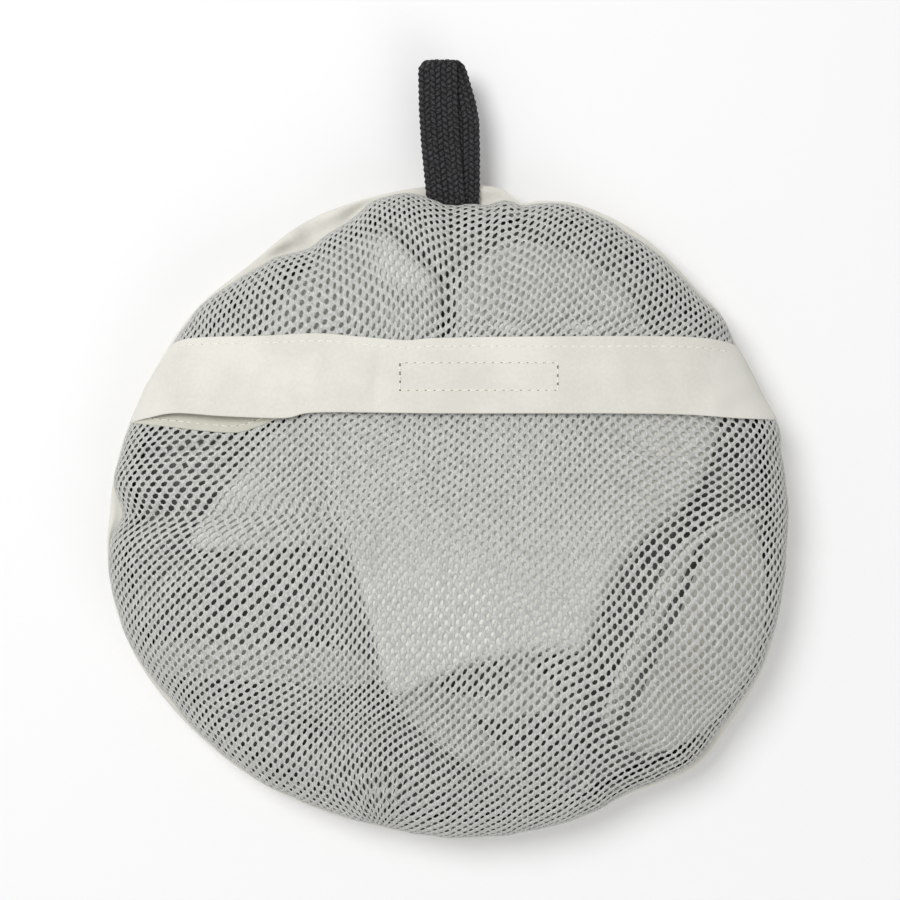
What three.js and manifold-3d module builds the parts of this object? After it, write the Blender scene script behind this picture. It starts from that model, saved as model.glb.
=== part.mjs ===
// A round mesh storage pouch, packed with a folded fabric cover and lying on its back.
// Millimetres, +Z up. The back panel rests on z = 0 and the hanging loop points along +Y.
// The front is two mesh panels. A wide fabric band on the upper one laps over the bound
// edge of the lower one, and a hook-and-loop strip holds that mouth shut.
import * as THREE from "three";
import { mergeVertices } from "three/addons/utils/BufferGeometryUtils.js";
import Module from "manifold-3d";

const wasm = await Module();
wasm.setup();

// ---------------------------------------------------------------- driving dimensions

const rimRadius = 108; // mean radius of the rim seam
const seamHeight = 14; // rim seam above the surface the pouch lies on
const crownRise = 26; // top of the lower mesh panel above the rim seam
const backFlatShare = 0.74; // share of the radius on which the back lies flat

const gap = 0.3; // between pieces that touch
const wovenThick = 0.6; // coated woven fabric with its seam ease
const meshThick = 0.8;
const bandThick = 0.8; // the band is folded double
const tapeThick = 0.9; // each half of the hook-and-loop closure
const threadThick = 0.4;
const threadWide = 0.7;

const bandTop = 56; // seam of the band to the upper mesh, from the pouch's centre
const bandHeight = 24.5;
const hemShows = 1.6; // how far the hem of the lower mesh reaches below the band
const hemEndInset = 8; // the hem thins out into the rim seam over this length, so its solid stops here
const flapCentre = 10; // middle of the closure, to the right of the pouch's centre
const flapWidth = 80; // stretch of the band that lifts
const closureLength = 54;
const closureHeight = 12.5;
const closureDrop = 11.3; // middle of the closure below the band's top edge
const stitchInset = 2.6; // stitch lines from the edge that they hold
const boxInset = 1.8; // box stitching from the closure's edge
const closureBacking = 1; // hem beyond the upper edge of the closure

const loopTapeWidth = 13.2;
const loopTapeThick = 1.6;
const loopReach = 40; // tip of the hanging loop beyond the rim
const loopCentre = 1.5; // middle of the loop, to the right of the pouch's centre
const loopOpening = 5; // clear height inside the loop, under its fold
const loopRootGap = 0.5; // between the two legs where they enter the seam
const loopLegShift = 5.2; // the upper leg lies this far to the left of the lower one
const loopTaperShare = 0.45; // the legs open out over this share of the loop's length
const loopSeamClear = 1; // room between the tape's bend and the mesh at the rim

const bindingHeight = 6; // rim seam binding, above and below the seam together
const bindingThick = 1;
const clothClear = 0.8; // packed cloth below the mesh
const foldThick = 3.4; // each fold of the packed cloth
const edgeBindingWidth = 3.2;

// Where the packed folds push the rim out or let it fall in: degrees from +X.
const rimLobes = [
  { at: 326, by: 7.5, wide: 22 },
  { at: 200, by: 4.5, wide: 24 },
  { at: 6, by: 3, wide: 22 },
  { at: 52, by: 3, wide: 18 },
  { at: 128, by: -4, wide: 26 },
  { at: 258, by: -3, wide: 20 },
];

// Steps round the rim, and from the crown to the rim.
const roundSteps = 40;
const crownSteps = 7;

// ---------------------------------------------------------------- solids

function solidOf(geometry) {
  const bare = geometry.index ? geometry.toNonIndexed() : geometry.clone();
  bare.deleteAttribute("normal");
  bare.deleteAttribute("uv");
  const merged = mergeVertices(bare, 1e-4);
  return new wasm.Manifold(
    new wasm.Mesh({
      numProp: 3,
      vertProperties: merged.attributes.position.array,
      triVerts: new Uint32Array(merged.index.array),
    }),
  );
}

function geometryOf(solid) {
  const mesh = solid.getMesh();
  const positions = new Float32Array(mesh.numVert * 3);
  for (let i = 0; i < mesh.numVert; i++) {
    positions.set(mesh.vertProperties.subarray(i * mesh.numProp, i * mesh.numProp + 3), i * 3);
  }
  const geometry = new THREE.BufferGeometry();
  geometry.setAttribute("position", new THREE.BufferAttribute(positions, 3));
  geometry.setIndex(new THREE.BufferAttribute(mesh.triVerts, 1));
  geometry.computeVertexNormals();
  return geometry;
}

// ---------------------------------------------------------------- the pouch's form

function rimAt(angle) {
  let radius = rimRadius;
  for (const lobe of rimLobes) {
    const away = ((THREE.MathUtils.radToDeg(angle) - lobe.at + 540) % 360) - 180;
    radius += lobe.by * Math.exp(-((away / lobe.wide) ** 2));
  }
  return radius;
}

// A front surface: lift raises the crown, and reach widens the rim. It turns steep at the rim.
const front = (lift, reach) => (angle, turn) => {
  const radius = (rimAt(angle) + reach) * Math.sqrt(Math.sin(turn));
  const height = seamHeight + (crownRise + lift) * Math.cos(turn);
  return new THREE.Vector3(radius * Math.cos(angle), radius * Math.sin(angle), height);
};

// A back surface: flat in the middle, then a round turn up to the rim seam.
const back = (lift, reach) => (angle, turn) => {
  const across = Math.sqrt(Math.sin(turn));
  const radius = (rimAt(angle) + reach) * across;
  const bend = Math.max(0, across - backFlatShare) / (1 - backFlatShare);
  const height = lift + (seamHeight - lift) * (1 - Math.sqrt(Math.max(0, 1 - bend * bend)));
  return new THREE.Vector3(radius * Math.cos(angle), radius * Math.sin(angle), height);
};

// The closed solid between an upper and a lower surface, with a wall that joins their rims.
function between(upper, lower) {
  const points = [];
  const faces = [];
  const ringStart = (side, ring) => side * (1 + crownSteps * roundSteps) + 1 + (ring - 1) * roundSteps;
  for (const surface of [upper, lower]) {
    points.push(surface(0, 0));
    for (let ring = 1; ring <= crownSteps; ring++) {
      for (let step = 0; step < roundSteps; step++) {
        const angle = (step / roundSteps) * 2 * Math.PI;
        points.push(surface(angle, (ring / crownSteps) * (Math.PI / 2)));
      }
    }
  }
  const quad = (a, b, c, d) => faces.push(a, b, c, a, c, d);
  for (let step = 0; step < roundSteps; step++) {
    const next = (step + 1) % roundSteps;
    const low = ringStart(1, 1) - 1;
    faces.push(0, ringStart(0, 1) + step, ringStart(0, 1) + next);
    faces.push(low, ringStart(1, 1) + next, ringStart(1, 1) + step);
    for (let ring = 1; ring < crownSteps; ring++) {
      const [top, topOut] = [ringStart(0, ring), ringStart(0, ring + 1)];
      const [under, underOut] = [ringStart(1, ring), ringStart(1, ring + 1)];
      quad(top + step, topOut + step, topOut + next, top + next);
      quad(under + next, underOut + next, underOut + step, under + step);
    }
    const [rimTop, rimUnder] = [ringStart(0, crownSteps), ringStart(1, crownSteps)];
    quad(rimTop + next, rimTop + step, rimUnder + step, rimUnder + next);
  }
  const geometry = new THREE.BufferGeometry().setFromPoints(points);
  geometry.setIndex(faces);
  return solidOf(geometry);
}

// A cloth-like layer that follows the front, from one level above the lower mesh to another.
function frontLayer(low, high, lowReach = low, highReach = high) {
  return between(front(high, highReach), front(low, lowReach));
}

// An upright prism that cuts a piece out of a layer.
function prism(shape) {
  const tall = seamHeight + crownRise + 30;
  const geometry = new THREE.ExtrudeGeometry(shape, { depth: tall, bevelEnabled: false, curveSegments: 6 });
  return solidOf(geometry.translate(0, 0, -10));
}

function boxPrism(left, right, bottom, top) {
  const shape = new THREE.Shape();
  shape.moveTo(left, bottom);
  shape.lineTo(right, bottom);
  shape.lineTo(right, top);
  shape.lineTo(left, top);
  return prism(shape);
}

// A smooth closed outline through points given as shares of the rim radius.
function outline(shares) {
  const points = shares.map(([x, y]) => new THREE.Vector3(x * rimRadius, y * rimRadius, 0));
  const curve = new THREE.CatmullRomCurve3(points, true, "centripetal");
  const shape = new THREE.Shape(curve.getPoints(shares.length * 3).map((p) => new THREE.Vector2(p.x, p.y)));
  return shape;
}

// ---------------------------------------------------------------- levels of the stack

// Heights above the lower mesh's outer face, at the crown, from the lower mesh outwards.
const hemLow = gap;
const hemHigh = hemLow + wovenThick;
const loopStripLow = hemHigh + gap;
const loopStripHigh = loopStripLow + tapeThick;
const hookStripLow = loopStripHigh + gap;
const hookStripHigh = hookStripLow + tapeThick;
const bandLow = hookStripHigh + gap;
const bandHigh = bandLow + bandThick;

const wide = 2 * rimRadius; // past any piece of the pouch
const bandBottom = bandTop - bandHeight;
const closureY = bandTop - closureDrop;
const hemBottom = bandBottom - hemShows;
const hemTop = closureY + closureHeight / 2 + closureBacking;
const flapLeft = flapCentre - flapWidth / 2;
const flapRight = flapCentre + flapWidth / 2;

// ---------------------------------------------------------------- colours

const finish = (colour, roughness) =>
  new THREE.MeshStandardMaterial({ color: colour, roughness, metalness: 0, side: THREE.DoubleSide });
const offWhiteWoven = finish(0xe6e4dc, 0.8);
const greyMesh = finish(0xb4b5b1, 0.85);
const blackTape = finish(0x2f2f2f, 0.9);
const hookAndLoop = finish(0xdcdad2, 0.95);
const creamThread = finish(0xddd9c8, 0.7);
const darkCoating = finish(0x3a3b39, 0.75);

// ---------------------------------------------------------------- shell of the pouch

function backPanel() {
  return between(back(wovenThick, -wovenThick), back(0, 0));
}

function lowerMeshPanel() {
  return frontLayer(-meshThick, 0).intersect(boxPrism(-wide, wide, -wide, hemTop));
}

function upperMeshPanel() {
  const panel = frontLayer(bandHigh - meshThick, bandHigh, gap, gap + meshThick);
  return panel.intersect(boxPrism(-wide, wide, bandTop + gap, wide));
}

// The hem runs along the lower mesh's top edge, under the band, and is sewn near its lower edge.
function hemRegion(bottom, top) {
  const round = new THREE.Shape().absarc(0, 0, rimRadius - hemEndInset, 0, 2 * Math.PI);
  return prism(round).intersect(boxPrism(-wide, wide, bottom, top));
}

function mouthHem() {
  return frontLayer(hemLow, hemHigh).intersect(hemRegion(hemBottom, hemTop));
}

// ---------------------------------------------------------------- the band over the mouth

function bandPiece(left, right) {
  const layer = frontLayer(bandLow, bandHigh, gap, gap + bandThick);
  return layer.intersect(boxPrism(left, right, bandBottom, bandTop));
}

// A rectangle about the middle of the closure: inset from the closure's own edge.
function closureRegion(inset) {
  const halfLength = closureLength / 2 - inset;
  const halfHeight = closureHeight / 2 - inset;
  const [left, right] = [flapCentre - halfLength, flapCentre + halfLength];
  return boxPrism(left, right, closureY - halfHeight, closureY + halfHeight);
}

function stripPiece(low, high) {
  return frontLayer(low, high).intersect(closureRegion(0));
}

// A line of thread is laid on a layer as a narrow ribbon.
function threadOn(level, levelReach, region) {
  const low = level + gap;
  const layer = frontLayer(low, low + threadThick, levelReach + gap, levelReach + gap + threadThick);
  return layer.intersect(region);
}

function bandThread(left, right) {
  const y = bandTop - stitchInset;
  const region = boxPrism(left, right, y - threadWide / 2, y + threadWide / 2);
  return threadOn(bandHigh, gap + bandThick, region);
}

function closureBoxRegion() {
  const outer = closureRegion(boxInset - threadWide / 2);
  return outer.subtract(closureRegion(boxInset + threadWide / 2));
}

function closureBoxThread() {
  return threadOn(bandHigh, gap + bandThick, closureBoxRegion());
}

function hemThread() {
  const y = hemBottom + stitchInset;
  const run = hemRegion(y - threadWide / 2, y + threadWide / 2);
  return threadOn(hemHigh, hemHigh, run);
}

// ---------------------------------------------------------------- rim seam, inside

// A ring inside the rim: inset is from the rim to its outer side.
function rimRing(inset, thick, height) {
  const ringShape = (grow) => {
    const points = [];
    for (let step = 0; step < roundSteps; step++) {
      const angle = (step / roundSteps) * 2 * Math.PI;
      const radius = rimAt(angle) - grow;
      points.push(new THREE.Vector2(radius * Math.cos(angle), radius * Math.sin(angle)));
    }
    return new THREE.Shape(points);
  };
  const shape = ringShape(inset);
  shape.holes.push(new THREE.Path(ringShape(inset + thick).getPoints()));
  const geometry = new THREE.ExtrudeGeometry(shape, { depth: height, bevelEnabled: false });
  return solidOf(geometry.translate(0, 0, seamHeight - height / 2));
}

const bindingInset = meshThick + 4 * gap; // clear of both shells where they turn in

// ---------------------------------------------------------------- packed cloth

const coreTop = -meshThick - clothClear - 2 * foldThick - 2 * gap;
const underFoldLow = coreTop + gap;
const underFoldHigh = underFoldLow + foldThick;
const overFoldLow = underFoldHigh + gap;
const overFoldHigh = overFoldLow + foldThick;
const clothReach = -(bindingInset + bindingThick + threadThick + 3 * gap);

function clothCore() {
  return between(front(coreTop, clothReach), back(wovenThick + gap, clothReach));
}

function fold(low, high, shares) {
  return frontLayer(low, high, clothReach - gap, clothReach).intersect(prism(outline(shares)));
}

// Fold outlines, as shares of the rim radius from the pouch's centre.
const centreFold = [
  [-0.4, 0.4], [-0.32, -0.06], [-0.2, -0.52], [-0.13, -0.56], [0.15, -0.47], [0.38, -0.43],
  [0.46, -0.28], [0.57, -0.14], [0.72, 0.02], [0.78, 0.24], [0.7, 0.42],
];
const leftFold = [
  [-0.1, 0.38], [-0.48, 0.3], [-0.62, 0.08], [-0.78, -0.1], [-0.82, -0.3], [-0.66, -0.48],
  [-0.3, -0.5], [-0.12, -0.2],
];
const rightFold = [
  [0.36, 0.3], [0.7, 0.36], [0.86, 0.16], [0.86, -0.1], [0.8, -0.42], [0.56, -0.68],
  [0.36, -0.6], [0.3, -0.1],
];
const lowerFold = [
  [-0.62, -0.58], [-0.3, -0.6], [0, -0.6], [0.26, -0.62], [0.34, -0.74], [0.1, -0.86], [-0.3, -0.82],
];
const topFold = [
  [-0.48, 0.46], [-0.42, 0.74], [-0.2, 0.82], [0.1, 0.78], [0.4, 0.76], [0.58, 0.56],
  [0.5, 0.44], [0, 0.42],
];

// Bound edge of the cover, along the left side of the right-hand fold.
const boundEdge = [
  [0.48, -0.66], [0.54, -0.42], [0.66, -0.16], [0.84, 0.0],
];

function edgeBinding() {
  const points = boundEdge.map(([x, y]) => new THREE.Vector2(x * rimRadius, y * rimRadius));
  const path = new THREE.SplineCurve(points).getSpacedPoints(10);
  const side = (away) =>
    path.map((p, i) => {
      const along = path[Math.min(i + 1, path.length - 1)].clone().sub(path[Math.max(i - 1, 0)]);
      along.normalize();
      return new THREE.Vector2(p.x - along.y * away, p.y + along.x * away);
    });
  const shape = new THREE.Shape([...side(-edgeBindingWidth / 2), ...side(edgeBindingWidth / 2).reverse()]);
  const layer = frontLayer(overFoldLow, overFoldLow + bindingThick, clothReach - gap, clothReach);
  return layer.intersect(prism(shape)).subtract(clearOf(centreFold));
}

// The room that a fold keeps around itself.
function clearOf(shares) {
  const grown = shares.map(([x, y]) => [x * 1.02 + 0.01 * Math.sign(x), y * 1.02]);
  return prism(outline(grown));
}

// ---------------------------------------------------------------- hanging loop

const loopRootHalf = loopRootGap / 2 + loopTapeThick; // half the thickness at the seam, rounded off
const loopFoldHalf = loopOpening / 2 + loopTapeThick; // half the thickness at the fold
const loopHingeOut = meshThick + gap + loopSeamClear + loopRootHalf; // it bends here, outside the rim
const loopLength = loopReach - loopHingeOut; // from the bend to the tip

// One side of the tape's long drop-shaped side view: x runs along the tape and y is up.
function drop(path, rootHalf, foldHalf, start) {
  const foldCentre = loopLength - loopFoldHalf;
  path.absarc(start, 0, rootHalf, Math.PI / 2, (3 * Math.PI) / 2, false);
  path.lineTo(foldCentre * loopTaperShare, -foldHalf);
  path.absarc(foldCentre, 0, foldHalf, -Math.PI / 2, Math.PI / 2, false);
  path.lineTo(foldCentre * loopTaperShare, foldHalf);
  path.closePath();
  return path;
}

// One tape folded in half. Its bend line at the seam lies on the X axis.
function hangingLoop() {
  const shape = drop(new THREE.Shape(), loopRootHalf, loopFoldHalf, 0);
  shape.holes.push(drop(new THREE.Path(), loopRootGap / 2, loopOpening / 2, 2 * loopTapeThick));
  const geometry = new THREE.ExtrudeGeometry(shape, {
    depth: loopTapeWidth,
    bevelEnabled: false,
    curveSegments: 8,
  });
  const alongY = new THREE.Vector3(0, 1, 0);
  const alongZ = new THREE.Vector3(0, 0, 1);
  const alongX = new THREE.Vector3(1, 0, 0);
  geometry.applyMatrix4(new THREE.Matrix4().makeBasis(alongY, alongZ, alongX));
  const positions = geometry.attributes.position;
  for (let i = 0; i < positions.count; i++) {
    const side = THREE.MathUtils.clamp(-positions.getZ(i) / (loopOpening / 2), -1, 1);
    const shift = (side * loopLegShift) / 2 - loopTapeWidth / 2;
    positions.setX(i, positions.getX(i) + shift);
  }
  return solidOf(geometry);
}

// ---------------------------------------------------------------- assembly

const pouch = new THREE.Group();
const frontShell = new THREE.Group(); // the front's pieces meet the back's at the seam, a gap apart
frontShell.position.z = gap;
pouch.add(frontShell);

function add(group, name, solid, material) {
  const mesh = new THREE.Mesh(geometryOf(solid), material);
  mesh.name = name;
  group.add(mesh);
  return mesh;
}

add(pouch, "back_panel", backPanel(), offWhiteWoven);
add(frontShell, "lower_mesh_panel", lowerMeshPanel(), greyMesh);
add(frontShell, "upper_mesh_panel", upperMeshPanel(), greyMesh);
add(frontShell, "mouth_hem", mouthHem(), offWhiteWoven);
add(frontShell, "hem_stitching", hemThread(), creamThread);

add(frontShell, "closure_loop_strip", stripPiece(loopStripLow, loopStripHigh), hookAndLoop);
add(frontShell, "closure_hook_strip", stripPiece(hookStripLow, hookStripHigh), hookAndLoop);
add(frontShell, "closure_box_stitching", closureBoxThread(), creamThread);
add(frontShell, "mouth_band_centre", bandPiece(flapLeft, flapRight), offWhiteWoven);
add(frontShell, "mouth_band_left", bandPiece(-wide, flapLeft - gap), offWhiteWoven);
add(frontShell, "mouth_band_right", bandPiece(flapRight + gap, wide), offWhiteWoven);
add(frontShell, "band_stitching_centre", bandThread(flapLeft + gap, flapRight - gap), creamThread);
add(frontShell, "band_stitching_left", bandThread(-wide, flapLeft - 2 * gap), creamThread);
add(frontShell, "band_stitching_right", bandThread(flapRight + 2 * gap, wide), creamThread);

add(pouch, "rim_seam_binding", rimRing(bindingInset, bindingThick, bindingHeight), offWhiteWoven);
const threadInset = bindingInset + bindingThick + gap;
add(pouch, "rim_stitching", rimRing(threadInset, threadThick, threadWide), creamThread);

add(pouch, "packed_cloth_core", clothCore(), darkCoating);
add(pouch, "packed_cloth_left_fold", fold(underFoldLow, underFoldHigh, leftFold), offWhiteWoven);
add(pouch, "packed_cloth_right_fold", fold(underFoldLow, underFoldHigh, rightFold), offWhiteWoven);
add(pouch, "packed_cloth_lower_fold", fold(underFoldLow, underFoldHigh, lowerFold), offWhiteWoven);
add(pouch, "packed_cloth_top_fold", fold(underFoldLow, underFoldHigh, topFold), offWhiteWoven);
add(pouch, "packed_cloth_centre_fold", fold(overFoldLow, overFoldHigh, centreFold), offWhiteWoven);
add(pouch, "packed_cloth_edge_binding", edgeBinding(), offWhiteWoven);

const loop = add(pouch, "hanging_loop", hangingLoop(), blackTape);
loop.position.set(loopCentre, rimAt(Math.PI / 2) + loopHingeOut, seamHeight);

// The origin is under the middle of the whole object, loop included.
const box = new THREE.Box3().setFromObject(pouch);
const middle = box.getCenter(new THREE.Vector3());
pouch.position.set(-middle.x, -middle.y, -box.min.z);

export default pouch;
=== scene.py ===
import math
import bpy
import numpy as np
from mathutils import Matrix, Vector


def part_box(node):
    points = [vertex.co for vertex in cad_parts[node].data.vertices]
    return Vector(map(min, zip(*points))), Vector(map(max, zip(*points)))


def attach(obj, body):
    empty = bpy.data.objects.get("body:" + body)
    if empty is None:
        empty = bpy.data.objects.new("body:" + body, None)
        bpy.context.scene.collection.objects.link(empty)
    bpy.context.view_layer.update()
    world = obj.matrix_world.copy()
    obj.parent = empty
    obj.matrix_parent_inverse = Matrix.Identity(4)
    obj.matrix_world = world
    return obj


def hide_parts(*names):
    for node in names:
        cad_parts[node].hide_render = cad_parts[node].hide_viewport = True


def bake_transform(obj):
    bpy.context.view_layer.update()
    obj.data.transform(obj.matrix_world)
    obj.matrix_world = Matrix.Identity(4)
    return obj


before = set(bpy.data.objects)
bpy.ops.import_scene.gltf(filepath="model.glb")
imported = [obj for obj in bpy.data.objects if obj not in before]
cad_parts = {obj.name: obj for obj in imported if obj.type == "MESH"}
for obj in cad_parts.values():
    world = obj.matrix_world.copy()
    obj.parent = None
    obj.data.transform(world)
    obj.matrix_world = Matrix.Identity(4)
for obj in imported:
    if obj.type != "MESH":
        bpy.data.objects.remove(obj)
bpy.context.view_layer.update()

# Round mesh storage pouch with a folded cover inside, lying on its back.
# Millimetres in this script, metres in the file: makePiece does the change.
mm = 0.001
rng = np.random.default_rng(7)


def boxOf(node):
    low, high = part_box(node)
    return np.array(low) / mm, np.array(high) / mm


# ---- where the CAD puts the pouch
loopLow, loopHigh = boxOf("hanging_loop")
flapLow, flapHigh = boxOf("mouth_band_centre")
backLow, backHigh = boxOf("back_panel")
meshLow, meshHigh = boxOf("lower_mesh_panel")

pouch = {
    "x": (loopLow[0] + loopHigh[0]) / 2 - 1.5,  # the loop sits 1.5 mm right of the middle
    "y": flapHigh[1] - 56.0,                    # the band's seam is 56 mm above the middle
    "seam": backHigh[2],                        # height of the rim seam
    "rise": meshHigh[2] - meshLow[2],           # crown of the mesh above the rim seam
    "rim": 108.0,                               # radius before the bumps
    "backFlat": 0.76,                           # share of the radius that lies flat
}

# The outline: angle from +X in degrees, bump in mm, half width in degrees.
outerBumps = [
    (328, 7.5, 20), (314, 4.0, 8), (4, 3.3, 24), (14, 1.5, 3), (36, 1.6, 4), (56, 2.4, 14), (76.6, -4.2, 2.6),
    (72.5, -1.6, 3), (104, -2.2, 16), (129, -4.2, 11), (150, -2.2, 14), (198, 4.8, 22), (256, -2.6, 17),
    (293, 1.2, 6),
]
# How far the mesh stays inside that outline, where the back bulges out past it.
frontTucks = [
    (117, 7.8, 7.5), (108.5, 3.2, 4.5), (129, 1.4, 5), (88, 6.6, 7), (81.8, 3.0, 2.6), (180.5, 4.0, 3.5),
    (320, 2.0, 13), (214, 1.2, 9), (56, 1.4, 15), (150, 0.5, 12), (240, 0.5, 14),
]


def bumps(theta, rows):
    total = np.zeros_like(theta)
    for at, by, wide in rows:
        away = (np.degrees(theta) - at + 180) % 360 - 180
        total += by * np.exp(-((away / wide) ** 2))
    return total


def outerRim(theta):
    return pouch["rim"] + bumps(theta, outerBumps)


def frontRim(theta):
    wave = 0.35 * np.sin(23 * theta + 1.0) + 0.3 * np.sin(41 * theta + 2.2) + 0.2 * np.sin(67 * theta)
    return outerRim(theta) - 0.5 - bumps(theta, frontTucks) + wave * 0.45


# The eye looks straight down. What stands higher than the rim seam looks further from the middle of
# the view than it is, so outlines are laid out as the eye sees them and brought in by trueOf.
eye = {"lens": 85.0, "sensor": 36.0, "frame": 292.5, "x": 0.49, "y": -0.81, "plane": 17.0}
eye["distance"] = eye["frame"] * eye["lens"] / eye["sensor"]


def trueOf(points):
    ring = np.array(points, float)
    rho = np.clip(np.hypot(ring[:, 0], ring[:, 1]) / pouch["rim"], 0, 1)
    height = pouch["seam"] + (pouch["rise"] + 1.0) * np.sqrt(1 - rho ** 4)
    share = 1 - (height - eye["plane"]) / eye["distance"]
    middle = np.array([eye["x"] - pouch["x"], eye["y"] - pouch["y"]])
    return middle + (ring - middle) * share[:, None]


# ---- outlines of the folds that press against the mesh, from the pouch's middle
foldOutlines = {
    "centreFold": [
        (-47, 46), (-43.5, 27), (-38, 5), (-32, -15), (-24.5, -41), (-20, -58), (-14, -60),
        (-3, -55), (12, -50), (30, -47), (44, -46), (49, -38), (55, -22), (66, -8), (78, 2),
        (87, 20), (86, 44), (40, 50), (0, 50),
    ],
    "leftFold": [
        (-30, 30), (-50, 30), (-62, 19), (-77, 2), (-84, -9), (-80, -13), (-62, -12.5),
        (-40, -12), (-26, -14), (-20, 8),
    ],
    "rightFold": [
        (64, -34), (72, -17), (84, -6), (98, 0), (103, -16), (103, -34), (98, -52), (86, -68),
        (70, -78), (56, -76), (54, -58),
    ],
    "lowerFold": [
        (-23, -50), (-17.5, -62), (-10, -70.5), (-2, -77.5), (8, -83), (20, -86), (32, -84), (42, -76),
        (46, -62), (42, -50), (20, -44), (0, -44),
    ],
    "topFold": [
        (-58, 56), (-52, 72), (-40, 84), (-30, 89), (-19, 91), (-11, 83.5), (-4, 77), (-1, 72), (-3, 62),
        (-4, 52), (-30, 50),
    ],
    "topRightFold": [
        (3, 52), (3, 62), (5, 74), (11, 83), (22, 88), (38, 86), (54, 76), (64, 62), (62, 53), (30, 50),
    ],
    "leftRoll": [
        (-97, -44), (-84, -42), (-60, -44), (-36, -45), (-24, -50), (-27, -57), (-50, -56.5),
        (-76, -55), (-93, -52),
    ],
}


def between(a, b, c, d, t):
    # Catmull-Rom curve: from b to c as t goes from 0 to 1, with a before b and d after c.
    return 0.5 * (2 * b + (c - a) * t + (2 * a - 5 * b + 4 * c - d) * t * t
                  + (3 * b - a - 3 * c + d) * t ** 3)


def smoothOutline(points, perSpan=8):
    ring = np.array(points, float)
    four = [np.roll(ring, shift, 0) for shift in (1, 0, -1, -2)]
    rows = [between(*four, t) for t in np.arange(perSpan) / perSpan]
    return np.stack(rows, 1).reshape(-1, 2)


foldOutlines = {name: trueOf(points) for name, points in foldOutlines.items()}
outlines = {name: smoothOutline(points) for name, points in foldOutlines.items()}


def insideDepth(u, v, ring):
    # Distance to the outline, in mm, positive inside.
    nearest = np.full(u.shape, 1e9)
    crossings = np.zeros(u.shape, int)
    for (x0, y0), (x1, y1) in zip(ring, np.roll(ring, -1, 0)):
        dx, dy = x1 - x0, y1 - y0
        t = np.clip(((u - x0) * dx + (v - y0) * dy) / (dx * dx + dy * dy + 1e-9), 0, 1)
        nearest = np.minimum(nearest, np.hypot(u - x0 - t * dx, v - y0 - t * dy))
        if abs(dy) > 1e-9:
            crossings += ((y0 > v) != (y1 > v)) & (u < x0 + dx * (v - y0) / dy)
    return np.where(crossings % 2 == 1, nearest, -nearest)


def near(u, v, atU, atV, reach):
    return np.exp(-((u - atU) ** 2 + (v - atV) ** 2) / reach ** 2)


def ease(x, low, high):
    t = np.clip((x - low) / (high - low), 0, 1)
    return t * t * (3 - 2 * t)


# ---- relief of the stretched mesh, in mm from the pouch's middle: (from, to, depth, width)
creases = [
    ((-101, 17.8), (-68, 24.0), -1.5, 1.7), ((-101, 14.0), (-62, 21.2), 0.8, 2.4),
    ((-24, 98), (-1, 75), -1.3, 2.0), ((0, 75), (14, 95), -1.1, 2.2), ((-5, 96), (0, 81), 1.0, 4.0),
    ((-1, 76), (0, 62), -1.2, 2.4), ((-40, 92), (-22, 84), 0.9, 3.0), ((12, 80), (34, 92), 0.8, 3.0),
    ((18, 98), (40, 84), -0.8, 2.2), ((-56, 84), (-44, 66), -0.8, 2.6), ((66, 80), (50, 60), 0.6, 4.0),
    ((-108, -8), (-88, 2), -1.5, 2.2), ((-106, -18), (-84, -4), 1.0, 2.6), ((50, 28), (98, 8), -0.6, 2.4),
    ((-104, -30), (-86, -16), -1.0, 3.0), ((54, 20), (96, 2), 0.6, 2.6), ((62, 6), (102, -14), -0.6, 3.0),
    ((-97, -46), (-40, -44), 0.5, 3.0), ((-92, -62), (-30, -72), -1.0, 3.4),
    ((-84, -72), (-34, -84), 0.8, 3.6),
    ((-48, 28), (-22, -56), -0.5, 2.6), ((34, -96), (44, -80), -0.9, 2.6), ((64, -84), (58, -66), -0.7, 3.0),
    ((-16, -62), (14, -82), 0.8, 3.0),
]
foldHeights = {"centreFold": 1.5, "leftFold": 0.9, "lowerFold": 1.0, "rightFold": 0.8, "topFold": 1.2,
               "topRightFold": 1.2}


def alongLine(u, v, start, end):
    # How far along a line, 0 to 1, and how far away from it.
    dx, dy = end[0] - start[0], end[1] - start[1]
    t = ((u - start[0]) * dx + (v - start[1]) * dy) / (dx * dx + dy * dy)
    return t, ((u - start[0]) * dy - (v - start[1]) * dx) / math.hypot(dx, dy)


def relief(u, v):
    total = (0.5 * np.sin(u / 17 + 0.6) * np.sin(v / 21 + 1.1)
             + 0.35 * np.sin(u / 9.5 + v / 12 + 2.0) + 0.25 * np.sin(v / 7.3 - u / 14))
    for start, end, depth, width in creases:
        t, away = alongLine(u, v, start, end)
        total += 1.5 * depth * ease(t, -0.25, 0.2) * (1 - ease(t, 0.7, 1.2)) * np.exp(-((away / width) ** 2))
    for name, height in foldHeights.items():
        total += height * ease(insideDepth(u, v, outlines[name]), -5, 4)
    return total - 1.0


def pucker(theta, rho):
    # Gathers round the rim, where the flat-cut mesh is sewn to a shorter edge.
    wave = (np.sin(31 * theta + 0.5) + 0.8 * np.sin(47 * theta + 2.0) + 0.6 * np.sin(73 * theta + 4.0)
            + 0.5 * np.sin(19 * theta))
    turn = np.degrees(theta) % 360
    knot = np.sin(math.radians(210) * turn) * np.exp(-((turn - 258) / 6) ** 2)
    return 0.42 * wave * ease(rho, 0.78, 0.97) + 0.9 * knot * ease(rho, 0.74, 0.9)


def frontAt(u, v, lift=0.0):
    # The point of the front above a place, in the object's own frame.
    theta = np.arctan2(v, u)
    rho = np.clip(np.hypot(u, v) / frontRim(theta), 0, 1)
    z = pouch["seam"] + pouch["rise"] * np.sqrt(np.clip(1 - rho ** 4, 0, 1))
    calm = 1 - rho ** 12
    z = z + (relief(u, v) + pucker(theta, rho) + lift) * calm
    return np.stack([u + pouch["x"], v + pouch["y"], z], -1)


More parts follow.
